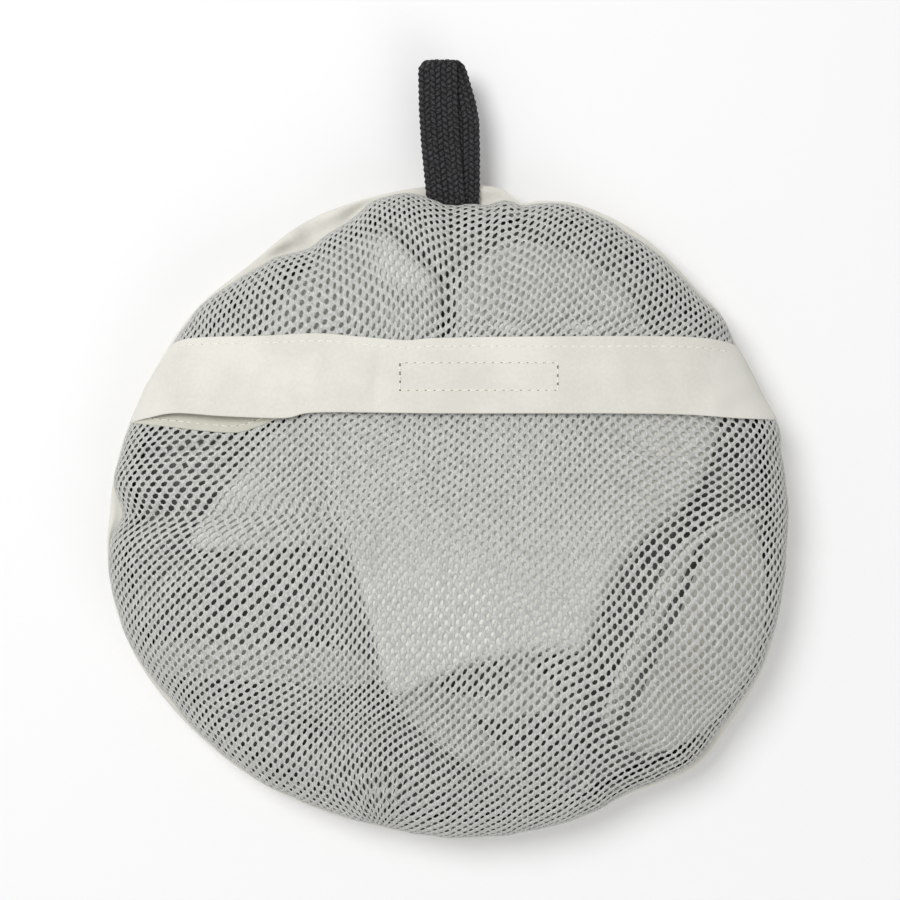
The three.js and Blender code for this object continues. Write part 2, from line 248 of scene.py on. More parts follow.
# Arc length from the crown to the rim, which turns flat cloth into the domed front.
rhoSteps = 1 - np.linspace(1, 0, 400) ** 2
heightSteps = pouch["rise"] * np.sqrt(np.clip(1 - rhoSteps ** 4, 0, 1))
arcSteps = np.concatenate([[0], np.cumsum(np.hypot(np.diff(rhoSteps) * pouch["rim"], np.diff(heightSteps)))])
clothRadius = arcSteps[-1]


def fromFlat(a, b, lift):
    theta = np.arctan2(b, a)
    rho = np.interp(np.hypot(a, b), arcSteps, rhoSteps)
    u, v = rho * frontRim(theta) * np.cos(theta), rho * frontRim(theta) * np.sin(theta)
    return frontAt(u, v, lift(u, v))


# ---- meshes
def makePiece(name, verts, faces, materials, body, replaced=(), faceMaterial=None, levels=0):
    data = bpy.data.meshes.new(name)
    data.from_pydata((np.asarray(verts) * mm).tolist(), [], [tuple(int(i) for i in f) for f in faces])
    data.validate()
    data.update()
    piece = bpy.data.objects.new(name, data)
    bpy.context.collection.objects.link(piece)
    for material in materials:
        data.materials.append(material)
    data.polygons.foreach_set("use_smooth", np.ones(len(data.polygons), bool))
    if faceMaterial is not None:
        data.polygons.foreach_set("material_index", np.asarray(faceMaterial, np.int32))
    if levels:
        rounding = piece.modifiers.new("rounding", "SUBSURF")
        rounding.levels = rounding.render_levels = levels
    if body:
        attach(piece, body)
    if replaced:
        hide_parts(*replaced)
    return piece


def storeValues(piece, name, values):
    layer = piece.data.attributes.new(name, "FLOAT", "POINT")
    layer.data.foreach_set("value", np.asarray(values, np.float32).ravel())


def tubeFaces(shape, ring=False):
    # Faces of a grid whose columns close on themselves; its ends are capped, or meet when it is a ring.
    at = np.arange(shape[0] * shape[1]).reshape(shape[:2])
    wrap = np.concatenate([at, at[:, :1]], 1)
    if ring:
        wrap = np.concatenate([wrap, wrap[:1]], 0)
    quads = np.stack([wrap[:-1, :-1], wrap[:-1, 1:], wrap[1:, 1:], wrap[1:, :-1]], -1)
    caps = [] if ring else [at[0][::-1].tolist(), at[-1].tolist()]
    return quads.reshape(-1, 4).tolist() + caps


def gridNormals(points, closed=False):
    if closed:
        padded = np.concatenate([points[:, -1:], points, points[:, :1]], 1)
        along, across = np.gradient(padded, axis=0)[:, 1:-1], np.gradient(padded, axis=1)[:, 1:-1]
    else:
        along, across = np.gradient(points, axis=0), np.gradient(points, axis=1)
    normal = np.cross(across, along)
    return normal / (np.linalg.norm(normal, axis=-1, keepdims=True) + 1e-12)


def gridShell(outer, inner, closed=False, cap=None):
    # Closed sheet between two grids; closed joins the last column to the first, and the row at cap is
    # a small ring in the middle that is filled instead of walled.
    rows, cols = outer.shape[:2]
    verts = np.concatenate([outer.reshape(-1, 3), inner.reshape(-1, 3)])
    at = np.arange(rows * cols).reshape(rows, cols)
    if closed:
        at = np.concatenate([at, at[:, :1]], 1)
    a, b, c, d = at[:-1, :-1], at[:-1, 1:], at[1:, 1:], at[1:, :-1]
    outside = np.stack([a, b, c, d], -1).reshape(-1, 4)
    inside = outside[:, ::-1] + rows * cols
    edges = []
    if cap != 0:
        edges.append((at[0, :-1], at[0, 1:]))
    if cap != -1:
        edges.append((at[-1, 1:], at[-1, :-1]))
    if not closed:
        edges += [(at[1:, 0], at[:-1, 0]), (at[:-1, -1], at[1:, -1])]
    walls = [np.stack([q, p, p + rows * cols, q + rows * cols], -1) for p, q in edges]
    faces = np.concatenate([outside, inside] + walls).tolist()
    kind = [0] * len(outside) + [1] * len(inside) + [0] * (len(faces) - 2 * len(outside))
    if cap is not None:
        ring = at[cap, :-1]
        ring = ring if cap == -1 else ring[::-1]
        faces += [ring.tolist(), (ring[::-1] + rows * cols).tolist()]
        kind += [0, 1]
    return verts, faces, np.array(kind)


# ---- materials
def linear(hexColour):
    parts = [int(hexColour[i:i + 2], 16) / 255 for i in (0, 2, 4)]
    return [c / 12.92 if c <= 0.04045 else ((c + 0.055) / 1.055) ** 2.4 for c in parts] + [1.0]


def addNode(tree, kind, links=(), inputs=(), **settings):
    node = tree.nodes.new(kind)
    for key, value in settings.items():
        setattr(node, key, value)
    for key, value in dict(inputs).items():
        node.inputs[key].default_value = value
    for key, source in dict(links).items():
        tree.links.new(source, node.inputs[key])
    return node


def startMaterial(name, **shader):
    material = bpy.data.materials.new(name)
    material.use_nodes = True
    tree = material.node_tree
    surface = tree.nodes["Principled BSDF"]
    for key, value in shader.items():
        surface.inputs[key.replace("_", " ")].default_value = value
    where = addNode(tree, "ShaderNodeTexCoord").outputs["Object"]
    return material, tree, surface, where


def dress(tree, surface, tone, stops, height, strength, deep, over=None):
    # The last nodes of every material: tone picks the colour, and height raises the surface by deep mm.
    colours = addNode(tree, "ShaderNodeValToRGB", {"Fac": tone})
    while len(colours.color_ramp.elements) < len(stops):
        colours.color_ramp.elements.new(0.5)
    for element, (place, colour) in zip(colours.color_ramp.elements, stops):
        element.position, element.color = place, linear(colour)
    tree.links.new(colours.outputs["Color"], surface.inputs["Base Color"])
    raised = addNode(tree, "ShaderNodeBump", {"Height": height},
                     {"Strength": strength, "Distance": deep * mm})
    tree.links.new(raised.outputs[0], surface.inputs["Normal"])
    if over:
        tree.links.new(over, raised.inputs["Normal"])
    return raised


def wovenPolyester(name, light, shade, threadMm=0.42):
    # Plain-woven polyester, matt: an even weave that only breaks the light up, and faint cloudy tone.
    # Thread spacing is 0.14 mm in the real cloth; it is drawn three times as coarse, to show at all.
    material, tree, surface, where = startMaterial(
        name, Roughness=0.78, IOR=1.5, Sheen_Weight=0.12, Sheen_Roughness=0.5)
    waves = []
    for direction in ("X", "Y"):
        wave = addNode(tree, "ShaderNodeTexWave", {"Vector": where},
                       {"Scale": 1 / (threadMm * mm) / math.tau * 0.5, "Distortion": 1.2, "Detail": 1.0},
                       wave_type="BANDS", bands_direction=direction)
        waves.append(wave.outputs["Fac"])
    weave = addNode(tree, "ShaderNodeMath", {0: waves[0], 1: waves[1]}, operation="MULTIPLY")
    cloudy = addNode(tree, "ShaderNodeTexNoise", {"Vector": where}, {"Scale": 38.0, "Detail": 2.0})
    grain = addNode(tree, "ShaderNodeTexNoise", {"Vector": where}, {"Scale": 900.0, "Detail": 1.0})
    mix = addNode(tree, "ShaderNodeMath", {0: grain.outputs["Fac"], 2: cloudy.outputs["Fac"]}, {1: 0.3},
                  operation="MULTIPLY_ADD")
    rumple = addNode(tree, "ShaderNodeTexNoise", {"Vector": where}, {"Scale": 90.0, "Detail": 2.0})
    coarse = addNode(tree, "ShaderNodeBump", {"Height": rumple.outputs["Fac"]},
                     {"Strength": 0.1, "Distance": 0.5 * mm})
    dress(tree, surface, mix.outputs[0], [(0.5, shade), (0.78, light)], weave.outputs[0], 0.25, 0.05,
          coarse.outputs[0])
    return material


def knittedMesh():
    # Warp-knitted polyester mesh: filament yarns lie over each other; their glints in short leaning strokes
    # are painted lighter and the shade between them darker.
    # Real filaments are 0.02 mm thick; each stroke stands for a whole yarn, 0.3 mm wide and 1 mm long.
    material, tree, surface, where = startMaterial(
        "knittedMesh", Roughness=0.6, IOR=1.53, Sheen_Weight=0.2, Sheen_Roughness=0.4)
    leaning = addNode(tree, "ShaderNodeMapping", {"Vector": where},
                      {"Rotation": (0, 0, math.radians(28)), "Scale": (1, 0.34, 1)})
    yarns = addNode(tree, "ShaderNodeTexVoronoi", {"Vector": leaning.outputs[0]},
                    {"Scale": 2100.0, "Randomness": 0.85})
    cross = addNode(tree, "ShaderNodeMapping", {"Vector": where},
                    {"Rotation": (0, 0, math.radians(-48)), "Scale": (1, 0.4, 1)})
    loops = addNode(tree, "ShaderNodeTexNoise", {"Vector": cross.outputs[0]},
                    {"Scale": 1500.0, "Detail": 2.0})
    both = addNode(tree, "ShaderNodeMath", {0: yarns.outputs["Distance"], 1: loops.outputs["Fac"]},
                   operation="ADD")
    half = addNode(tree, "ShaderNodeMath", {0: both.outputs[0]}, {1: 0.5}, operation="MULTIPLY")
    # Hole rims are painted lighter than the knots, as a painted highlight.
    ring = addNode(tree, "ShaderNodeAttribute", attribute_name="ring")  # 1 at a hole's rim, 0 at the knots
    yarnGlintAndShadeTone = addNode(tree, "ShaderNodeMath", {0: ring.outputs["Fac"], 2: half.outputs[0]}, {1: -0.16},
                     operation="MULTIPLY_ADD")
    # The ramp paints the glints and shade into the yarn's grey: light strokes and rims are painted highlight,
    # the darker tone painted shade between strands.
    stops = [(0.1, "dfe0db"), (0.32, "cbccc7"), (0.58, "adaeaa")]
    dress(tree, surface, yarnGlintAndShadeTone.outputs[0], stops, half.outputs[0], 0.5, 0.25).invert = True
    return material


def coatedReverseAndShade():
    # Coated reverse of the cover cloth, dark and slightly rubbery; its dark, blotchy tone is also painted
    # shade deep inside the pouch.
    material, tree, surface, where = startMaterial("coatedReverseAndShade", Roughness=0.55, IOR=1.5)
    noise = addNode(tree, "ShaderNodeTexNoise", {"Vector": where}, {"Scale": 70.0, "Detail": 4.0})
    crumplesAndShade = noise.outputs["Fac"]
    dress(tree, surface, crumplesAndShade, [(0.38, "3c3d3b"), (0.62, "868783")], crumplesAndShade, 0.3, 0.4)
    return material


def braidedTape():
    # Flat braid of black spun polyester: dull crowns with dusty fibres, and the grooves between strands
    # painted darker as shade.
    material, tree, surface, where = startMaterial(
        "braidedTape", Roughness=0.86, IOR=1.5, Specular_IOR_Level=0.18, Sheen_Weight=0.06,
        Sheen_Roughness=0.6)
    fibre = addNode(tree, "ShaderNodeTexNoise", {"Vector": where}, {"Scale": 1800.0, "Detail": 3.0})
    # crown darkens the colour in the grooves: painted shade
    crown = addNode(tree, "ShaderNodeAttribute", attribute_name="crown")
    fibresAndGrooveShade = addNode(tree, "ShaderNodeMath", {0: fibre.outputs["Fac"], 1: crown.outputs["Fac"]},
                    operation="MULTIPLY")
    stops = [(0.08, "080808"), (0.34, "1e1e1f"), (0.6, "464648")]
    dress(tree, surface, fibresAndGrooveShade.outputs[0], stops, fibre.outputs["Fac"], 0.7, 0.15)
    return material


def spunThread(name, light, dark):
    # Spun sewing thread: two plies twisted together.
    material, tree, surface, where = startMaterial(name, Roughness=0.6, IOR=1.5, Sheen_Weight=0.2)
    twist = addNode(tree, "ShaderNodeTexNoise", {"Vector": where},
                    {"Scale": 2200.0, "Detail": 1.0}).outputs["Fac"]
    dress(tree, surface, twist, [(0.35, dark), (0.65, light)], twist, 0.5, 0.08)
    return material


def nylonPile():
    # Hook-and-loop tape: a close nylon pile, so it is matt and speckled.
    material, tree, surface, where = startMaterial("nylonPile", Roughness=0.9, IOR=1.53, Sheen_Weight=0.5)
    pile = addNode(tree, "ShaderNodeTexVoronoi", {"Vector": where},
                   {"Scale": 1300.0, "Randomness": 0.9}).outputs["Distance"]
    dress(tree, surface, pile, [(0.1, "e6e4dc"), (0.7, "c4c2b8")], pile, 0.9, 0.4)
    return material


offWhite = wovenPolyester("offWhitePolyester", "e3e1d8", "d8d6cc")
coverCloth = wovenPolyester("coverPolyester", "f0efe9", "e0dfd7")
# The hem's darker tone is painted shade: it is the same cloth, lying deep under the lifted band.
shadedHemCloth = wovenPolyester("hemPolyesterInShade", "cecdc0", "c2c1b3")
meshYarn = knittedMesh()
darkSideAndShade = coatedReverseAndShade()
blackBraid = braidedTape()
creamThread = spunThread("creamThread", "f8f5ec", "e6e2d4")
# Needle holes are small discs painted dark as shade.
needleHoleShade = spunThread("needleShadow", "8f8c80", "6f6c62")
pileTape = nylonPile()
print("materials made")


# ---- camera, straight above, and soft light
lensData = bpy.data.cameras.new("camera")
lensData.lens = eye["lens"]
lensData.sensor_width = eye["sensor"]
camera = bpy.data.objects.new("camera", lensData)
camera.location = (eye["x"] * mm, eye["y"] * mm, (eye["plane"] + eye["distance"]) * mm)
bpy.context.collection.objects.link(camera)
bpy.context.scene.camera = camera


def softLight(name, place, size, watts):
    data = bpy.data.lights.new(name, "AREA")
    data.shape, data.size, data.energy = "DISK", size, watts
    lamp = bpy.data.objects.new(name, data)
    lamp.location = place
    lamp.rotation_euler = (-Vector(place)).to_track_quat("-Z", "Y").to_euler()
    bpy.context.collection.objects.link(lamp)


softLight("topLight", (-0.52, 0.45, 1.2), 0.7, 10.3)
softLight("fillLight", (0.6, -0.8, 0.9), 0.9, 2.7)

world = bpy.data.worlds.new("studio")
world.use_nodes = True
world.node_tree.nodes["Background"].inputs["Color"].default_value = (1, 1, 1, 1)
world.node_tree.nodes["Background"].inputs["Strength"].default_value = 0.5
bpy.context.scene.world = world
bpy.context.scene.view_settings.view_transform = "Standard"
bpy.context.scene.view_settings.look = "None"

floorData = bpy.data.meshes.new("floor")
side = 3.0
corners = [(-side, -side, 0), (side, -side, 0), (side, side, 0), (-side, side, 0)]
floorData.from_pydata(corners, [], [(0, 1, 2, 3)])
floor = bpy.data.objects.new("floor", floorData)
floor.location.z = -0.2 * mm
bpy.context.collection.objects.link(floor)
paper = startMaterial("whitePaper", Roughness=0.9, Base_Color=(0.94, 0.94, 0.94, 1))[0]
floorData.materials.append(paper)
print("camera, light and floor made")


# ---- back panel: a woven bowl that bulges out past the rim, coated inside, where its dark is also painted shade
backPanel = {
    "thick": 0.45, "round": 288, "bulgeRows": 16, "bowlRows": 18, "flatRows": 10, "low": 0.05,
    "drop": 4.5,  # how far the widest line of the bulge lies below the seam
    "folds": [(116, -2.6, 1.8), (121, 1.4, 3.2), (110.5, 1.4, 2.8), (105.5, -1.0, 2.6), (126, -1.2, 2.4),
              (79, -1.3, 2.8), (86, 1.2, 3.4), (183, 1.2, 4.0), (189, -1.0, 3.4), (318, 0.8, 5.0),
              (326, -0.8, 5.0)],
    # hollows beside the mesh's edge
    "hollows": [(107, 2.2, 3), (114.5, 1.8, 5), (121.5, 2.2, 3.4), (84, 1.6, 5), (182, 1.0, 5)],
}


def makeBackPanel():
    theta = np.linspace(0, math.tau, backPanel["round"], endpoint=False)[None, :]
    outer, inner = outerRim(theta), frontRim(theta) - 1.2
    seam, flat = pouch["seam"] - 0.5, pouch["backFlat"]
    crumple = 0.5 * np.sin(29 * theta + 1) + 0.5 * np.sin(43 * theta + 3) + 0.35 * np.sin(71 * theta)
    creased, hollow = bumps(theta, backPanel["folds"]), bumps(theta, backPanel["hollows"])
    rows = []
    drop = backPanel["drop"] * np.clip((outer - inner) / 8.0, 0.25, 1.0)
    for t in np.linspace(1, 0, backPanel["bulgeRows"], endpoint=False):
        turn = t * math.pi / 2
        r = inner + (outer - inner) * np.cos(turn)
        z = seam - drop * (1 - np.sin(turn)) + creased * np.cos(turn) * np.sin(turn) * 2.0
        z = z - hollow * (math.exp(-((0.78 - t) / 0.22) ** 2) - 0.3 * math.exp(-((0.28 - t) / 0.2) ** 2))
        rows.append((r, z))
    low = backPanel["low"]
    waist = seam - drop
    for t in np.linspace(0, 1, backPanel["bowlRows"]):
        turn = t * math.pi / 2
        r = outer * (flat + (1 - flat) * np.cos(turn))
        z = low + (waist - low) * (1 - np.sin(turn)) + 0.3 * crumple * np.sin(2 * turn) * (1 - t)
        rows.append((r + 0.35 * crumple * np.sin(2 * turn), np.maximum(z, low)))
    for t in np.linspace(1, 0, backPanel["flatRows"])[1:]:
        r = outer * flat * max(t, 0.004)
        z = low + 0.22 * (1 + np.sin(3 * theta + 5 * t)) * np.sin(math.pi * t) + 0 * theta
        rows.append((r, z))
    r = np.concatenate([row[0] for row in rows])
    z = np.concatenate([row[1] for row in rows])
    grid = np.stack([r * np.cos(theta) + pouch["x"], r * np.sin(theta) + pouch["y"], z], -1)
    inward = gridNormals(grid, closed=True)
    if inward[-3, 0, 2] < 0:
        inward = -inward
    for _ in range(6):
        inward = inward + np.roll(inward, 1, 1) + np.roll(inward, -1, 1)
        inward[1:-1] = inward[1:-1] + 0.5 * (inward[:-2] + inward[2:])
        inward /= np.linalg.norm(inward, axis=-1, keepdims=True)
    verts, faces, kind = gridShell(grid, grid + inward * backPanel["thick"], closed=True, cap=-1)
    bulge, inside = backPanel["bulgeRows"] * backPanel["round"], (len(grid) - 1) * backPanel["round"]
    # the dark coating and painted shade stop short of the seam
    kind[inside:inside + bulge] = 0  # the coating stops short of the seam
    return makePiece("backPanel", verts, faces, [offWhite, darkSideAndShade], "pouch",
                     ["back_panel"], kind)


backPiece = makeBackPanel()
print("back panel made")


def splinePath(points, count):
    ring = np.array(points, float)
    ring = np.concatenate([[2 * ring[0] - ring[1]], ring, [2 * ring[-1] - ring[-2]]])
    places = np.linspace(0, len(points) - 1.0001, count)
    return np.array([between(*ring[int(t):int(t) + 4], t - int(t)) for t in places])


# ---- the two mesh panels, knitted with real holes
mouth = {
    "lowEdge": [(-104, 28.6), (-95, 30.4), (-86, 31.7), (-69.5, 30.6), (-51, 30.0), (-40, 31.7), (0, 31.4),
                (66, 31.3), (92, 30.2), (108, 29.8)],
    "topEdge": [(-92, 53.4), (-83, 56.0), (-58, 56.2), (-40, 56.8), (-26, 55.6), (-12, 54.5), (0, 55.3),
                (54, 56.0), (81, 55.9), (96, 54.0)],
    "hemEdge": [(-104, 28.9), (-86, 27.0), (-76, 25.9), (-66, 25.4), (-58, 27.9), (-51, 30.6), (-38, 32.5),
                (110, 33.0)],
    "upperLift": 3.0,  # the upper panel stands this far above the lower one, at the band
    "lowLift": 2.1,
}
meshCloth = {
    "thick": 0.5, "pitchX": 3.56, "pitchY": 3.42, "holeLong": 0.98, "holeShort": 0.5,
    "rimTop": 0.6, "rimLow": 0.15,  # the yarn narrows to these shares of its thickness round a hole
}
# Where the stretched cloth is pulled: place, reach, stretch along X, stretch along Y.
pulls = [
    (0, -36, 34, 0.04, 0.28), (72, 8, 27, 0.32, -0.1), (-60, -26, 27, 0.34, 0.12),
    (-64, -62, 24, 0.34, -0.05), (-20, -92, 24, 0.2, 0.35), (-24.5, -110, 21, -0.6, 0.3),
    (0, 76, 20, 0.05, 0.26), (-40, 70, 24, 0.34, 0.22), (84, -28, 28, 0.2, 0.26),
    (34, -66, 30, 0.16, 0.2), (-84, 12, 24, 0.24, 0.2), (52, 74, 20, 0.1, 0.1), (-52, -80, 22, 0.1, 0.3),
]


def warped(a, b):
    da = 1.3 * np.sin(b / 27 + 0.4) + 0.7 * np.sin(a / 19 + b / 33) - 0.06 * b * ease(-a, 20, 90)
    da = da + 0.24 * (b - 50) * ease(b, 45, 60) * ease(a, -10, 25)
    db = 1.3 * np.sin(a / 33 + 0.8) + 0.6 * np.sin(b / 21 - a / 40) - 0.05 * a * ease(b, 40, 90)
    for atA, atB, reach, alongA, alongB in pulls:
        share = near(a, b, atA, atB, reach)
        da = da + alongA * (a - atA) * share
        db = db + alongB * (b - atB) * share
    return a + da, b + db


def edgeAt(u, rows):
    path = splinePath(rows, 240)
    return np.interp(u, path[:, 0], path[:, 1])


def upperLift(u, v):
    return mouth["upperLift"] * (1 - ease(v, 58, 86))


def noLift(u, v):
    return 0.0 * u


def knitPanel(name, keep, lift, replaced):
    px, py = meshCloth["pitchX"], meshCloth["pitchY"]
    count = int(clothRadius / min(px, py)) + 3
    i, j = np.meshgrid(np.arange(-count, count + 1), np.arange(-count, count + 1))
    centres = np.concatenate([np.stack([4 * i, 4 * j], -1).reshape(-1, 2),
                              np.stack([4 * i + 2, 4 * j + 2], -1).reshape(-1, 2)])
    flat = warped(centres[:, 0] * px / 4, centres[:, 1] * py / 4)
    place = fromFlat(*flat, noLift)
    u, v = place[:, 0] - pouch["x"], place[:, 1] - pouch["y"]
    kept = (np.hypot(flat[0], flat[1]) < clothRadius - 0.8) & keep(u, v)
    centres, u, v = centres[kept], u[kept], v[kept]
    # each cell is a diamond with its knots at four corners and a leaning oval hole
    offsets = np.array([(2, 0), (0, 2), (-2, 0), (0, -2)])
    keys, index = np.unique((centres[:, None, :] + offsets[None]).reshape(-1, 2), axis=0, return_inverse=True)
    rim = index.reshape(-1, 4)
    upperLeft, right = near(u, v, -90, 14, 24), ease(u, 34, 66) * (1 - ease(v, 30, 50))
    lean = np.radians(64 + 8 * np.sin(u / 31 + 1.0) * np.cos(v / 37) - 36 * upperLeft + 24 * ease(v, 50, 70))
    onLobe = ease(insideDepth(u, v, outlines["centreFold"]), -2, 4)
    size = 1 + 0.12 * ease(-v - 0.4 * u, 10, 60) - 0.15 * onLobe + 0.12 * near(u, v, -10, -72, 18)
    above, knot = ease(v, 50, 60), near(u, v, -22, -93, 13)
    toRight = ease(u, -6, 20)
    lean = lean - np.radians(8) * above * toRight
    lean = lean * (1 - knot) + np.arctan2(-106 - v, -24 - u) % math.pi * knot
    size = size * (1 + 0.16 * upperLeft + 0.2 * above + 0.1 * right + 0.05 * knot)
    size = size * (1 + 0.045 * rng.standard_normal(len(u)))
    slim = meshCloth["holeShort"] * (1 + 0.42 * right + 0.3 * upperLeft + (0.08 * toRight - 0.1) * above)
    slim = slim * (1 + 0.2 * onLobe - 0.2 * knot) * (1 + 0.05 * rng.standard_normal(len(u)))
    turn = lean[:, None] + np.radians([-60, 0, 60, 120, 180, 240])[None, :]
    along = meshCloth["holeLong"] * size[:, None] * np.cos(turn - lean[:, None])
    across = (slim * size)[:, None] * np.sin(turn - lean[:, None])
    holeA = centres[:, None, 0] * px / 4 + along * np.cos(lean)[:, None] - across * np.sin(lean)[:, None]
    holeB = centres[:, None, 1] * py / 4 + along * np.sin(lean)[:, None] + across * np.cos(lean)[:, None]
    flatA = np.concatenate([keys[:, 0] * px / 4, holeA.ravel()])
    flatB = np.concatenate([keys[:, 1] * py / 4, holeB.ravel()])
    a, b = warped(flatA, flatB)
    shrink = np.minimum(1, (clothRadius - 0.05) / np.maximum(np.hypot(a, b), 1e-6))
    a, b = a * shrink, b * shrink
    step = 0.25
    base = fromFlat(a, b, lift)
    normal = np.cross(fromFlat(a + step, b, lift) - fromFlat(a - step, b, lift),
                      fromFlat(a, b + step, lift) - fromFlat(a, b - step, lift))
    normal /= np.linalg.norm(normal, axis=1, keepdims=True) + 1e-12
    normal[normal[:, 2] < 0] *= -1
    thick = meshCloth["thick"]
    onHole = np.concatenate([np.zeros(len(keys)), np.ones(holeA.size)])
    crest = thick * np.where(onHole > 0, meshCloth["rimTop"], 1)
    under = thick * np.where(onHole > 0, meshCloth["rimLow"], 0)
    total = len(a)
    verts = np.concatenate([base + normal * (crest[:, None] - thick),
                            base + normal * (under[:, None] - thick)])
    hole = np.arange(holeA.size).reshape(-1, 6) + len(keys)
    c0, c1, c2, c3 = rim.T
    h0, h1, h2, h3, h4, h5 = hole.T
    quads = np.concatenate([np.stack(q, -1) for q in
                            [(c0, c1, h1, h0), (c1, c2, h3, h2), (c2, c3, h4, h3), (c3, c0, h0, h5)]])
    corners = np.concatenate([np.stack(q, -1) for q in [(c1, h2, h1), (c3, h5, h4)]])
    nextHole = np.roll(hole, -1, 1)
    walls = np.stack([hole, nextHole, nextHole + total, hole + total], -1).reshape(-1, 4)
    edges = np.stack([rim, np.roll(rim, -1, 1)], -1).reshape(-1, 2)
    codes = np.sort(edges, 1) @ np.array([len(keys), 1])
    kinds, first, uses = np.unique(codes, return_index=True, return_counts=True)
    free = edges[first[uses == 1]]
    sides = np.stack([free[:, 1], free[:, 0], free[:, 0] + total, free[:, 1] + total], -1)
    faces = (quads.tolist() + corners.tolist() + (quads[:, ::-1] + total).tolist()
             + (corners[:, ::-1] + total).tolist() + walls.tolist() + sides.tolist())
    print(name, "has", len(centres), "holes and", 2 * len(faces) - 2 * len(corners), "triangles")
    panel = makePiece(name, verts, faces, [meshYarn], "pouch", replaced)
    storeValues(panel, "ring", np.concatenate([onHole, onHole]))
    return panel


def belowBand(u, v):
    return v < np.where(u < -54, edgeAt(u, mouth["hemEdge"]) + 1.5, 50.0)


def aboveBand(u, v):
    return v > edgeAt(u, mouth["topEdge"]) - 2.6


lowerMesh = knitPanel("lowerMesh", belowBand, noLift, ["lower_mesh_panel"])
upperMesh = knitPanel("upperMesh", aboveBand, upperLift, ["upper_mesh_panel"])
print("mesh panels made")


# ---- the imported cover: a dark core that paints the shade deep inside the pouch, and the folds that lie against the mesh
packedCore = {
    "under": 7.5, "inset": 6.5, "low": 2.2, "round": 180, "rows": 36, "voxel": 2.5,
    "cap": 2.2,    # the furthest that the simulation may move a point
    "clear": 6.2,  # the least distance under the mesh
    "side": 3.5, "ground": 0.9, "frames": 20, "pressure": 4.0,
}


def makeCore():
    theta = np.linspace(0, math.tau, packedCore["round"], endpoint=False)[None, :]
    rim = frontRim(theta) - packedCore["inset"]
    top, bottom = [], []
    for t in np.linspace(0.004, 1, packedCore["rows"]):
        rho = math.sin(t * math.pi / 2)
        u, v = rim * rho * np.cos(theta), rim * rho * np.sin(theta)
        here = frontAt(u, v)
        depth = packedCore["under"] * (1 - rho ** 6)
        crumple = (1.3 * np.sin(u / 11 + v / 6) * np.sin(v / 13 - u / 8)
                   + 0.8 * np.sin(u / 4.1 + 2 * np.sin(v / 9)))
        z = here[..., 2] - 1.6 - depth - crumple * (1 - rho ** 8)
        top.append(np.stack([here[..., 0], here[..., 1], z], -1))
        raised = pouch["seam"] - 1.5 - packedCore["low"]
        low = packedCore["low"] + raised * np.clip((rho - 0.74) / 0.26, 0, 1) ** 2
        bottom.append(np.stack([here[..., 0], here[..., 1], low + 0 * u], -1))
    verts, faces, kind = gridShell(np.concatenate(top), np.concatenate(bottom), closed=True, cap=0)
    piece = makePiece("packedCore", verts, faces, [darkSideAndShade], None, ["packed_cloth_core"])
    swell(piece)
    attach(piece, "pouch")
    return piece


def pointsOf(data):
    points = np.zeros(len(data.vertices) * 3)
    data.vertices.foreach_get("co", points)
    return points.reshape(-1, 3)


def swell(piece):
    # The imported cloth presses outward: even voxels, then a short run of cloth with pressure inside and no
    # gravity, and no point moves further than cap or comes nearer the mesh than clear.
    scene = bpy.context.scene
    even = piece.modifiers.new("even", "REMESH")
    even.mode, even.voxel_size = "VOXEL", packedCore["voxel"] * mm
    bpy.context.view_layer.update()
    data = bpy.data.meshes.new_from_object(piece.evaluated_get(bpy.context.evaluated_depsgraph_get()))
    piece.modifiers.clear()
    piece.data = data
    rest = pointsOf(data)
    cloth = piece.modifiers.new("cloth", "CLOTH")
    cloth.settings.quality = 5
    cloth.settings.use_pressure = True
    cloth.settings.uniform_pressure_force = packedCore["pressure"]
    cloth.settings.effector_weights.gravity = 0.0
    cloth.point_cache.frame_start, cloth.point_cache.frame_end = 1, packedCore["frames"]
    for step in range(1, packedCore["frames"] + 1):
        scene.frame_set(step)
    moved = pointsOf(piece.evaluated_get(bpy.context.evaluated_depsgraph_get()).data)
    piece.modifiers.clear()
    scene.frame_set(1)
    shift = moved - rest
    far = np.linalg.norm(shift, axis=1, keepdims=True)
    shift *= np.minimum(1, packedCore["cap"] * mm / np.maximum(far, 1e-9))
    points = (rest + shift) / mm
    u, v = points[:, 0] - pouch["x"], points[:, 1] - pouch["y"]
    ceiling = frontAt(u, v)[:, 2] - packedCore["clear"]
    inner = (frontRim(np.arctan2(v, u)) - packedCore["side"]) / np.maximum(np.hypot(u, v), 1e-6)
    points[:, 0] = pouch["x"] + u * np.minimum(1, inner)
    points[:, 1] = pouch["y"] + v * np.minimum(1, inner)
    points[:, 2] = np.clip(points[:, 2], packedCore["ground"], np.maximum(ceiling, 1.0))
    data.vertices.foreach_set("co", (points * mm).ravel())
    data.polygons.foreach_set("use_smooth", np.ones(len(data.polygons), bool))
    data.update()
    rounding = piece.modifiers.new("rounding", "SUBSURF")
    rounding.levels = rounding.render_levels = 1
    print(piece.name, "moved", round(float(np.median(far)) / mm, 2), "mm,", len(rest), "points")


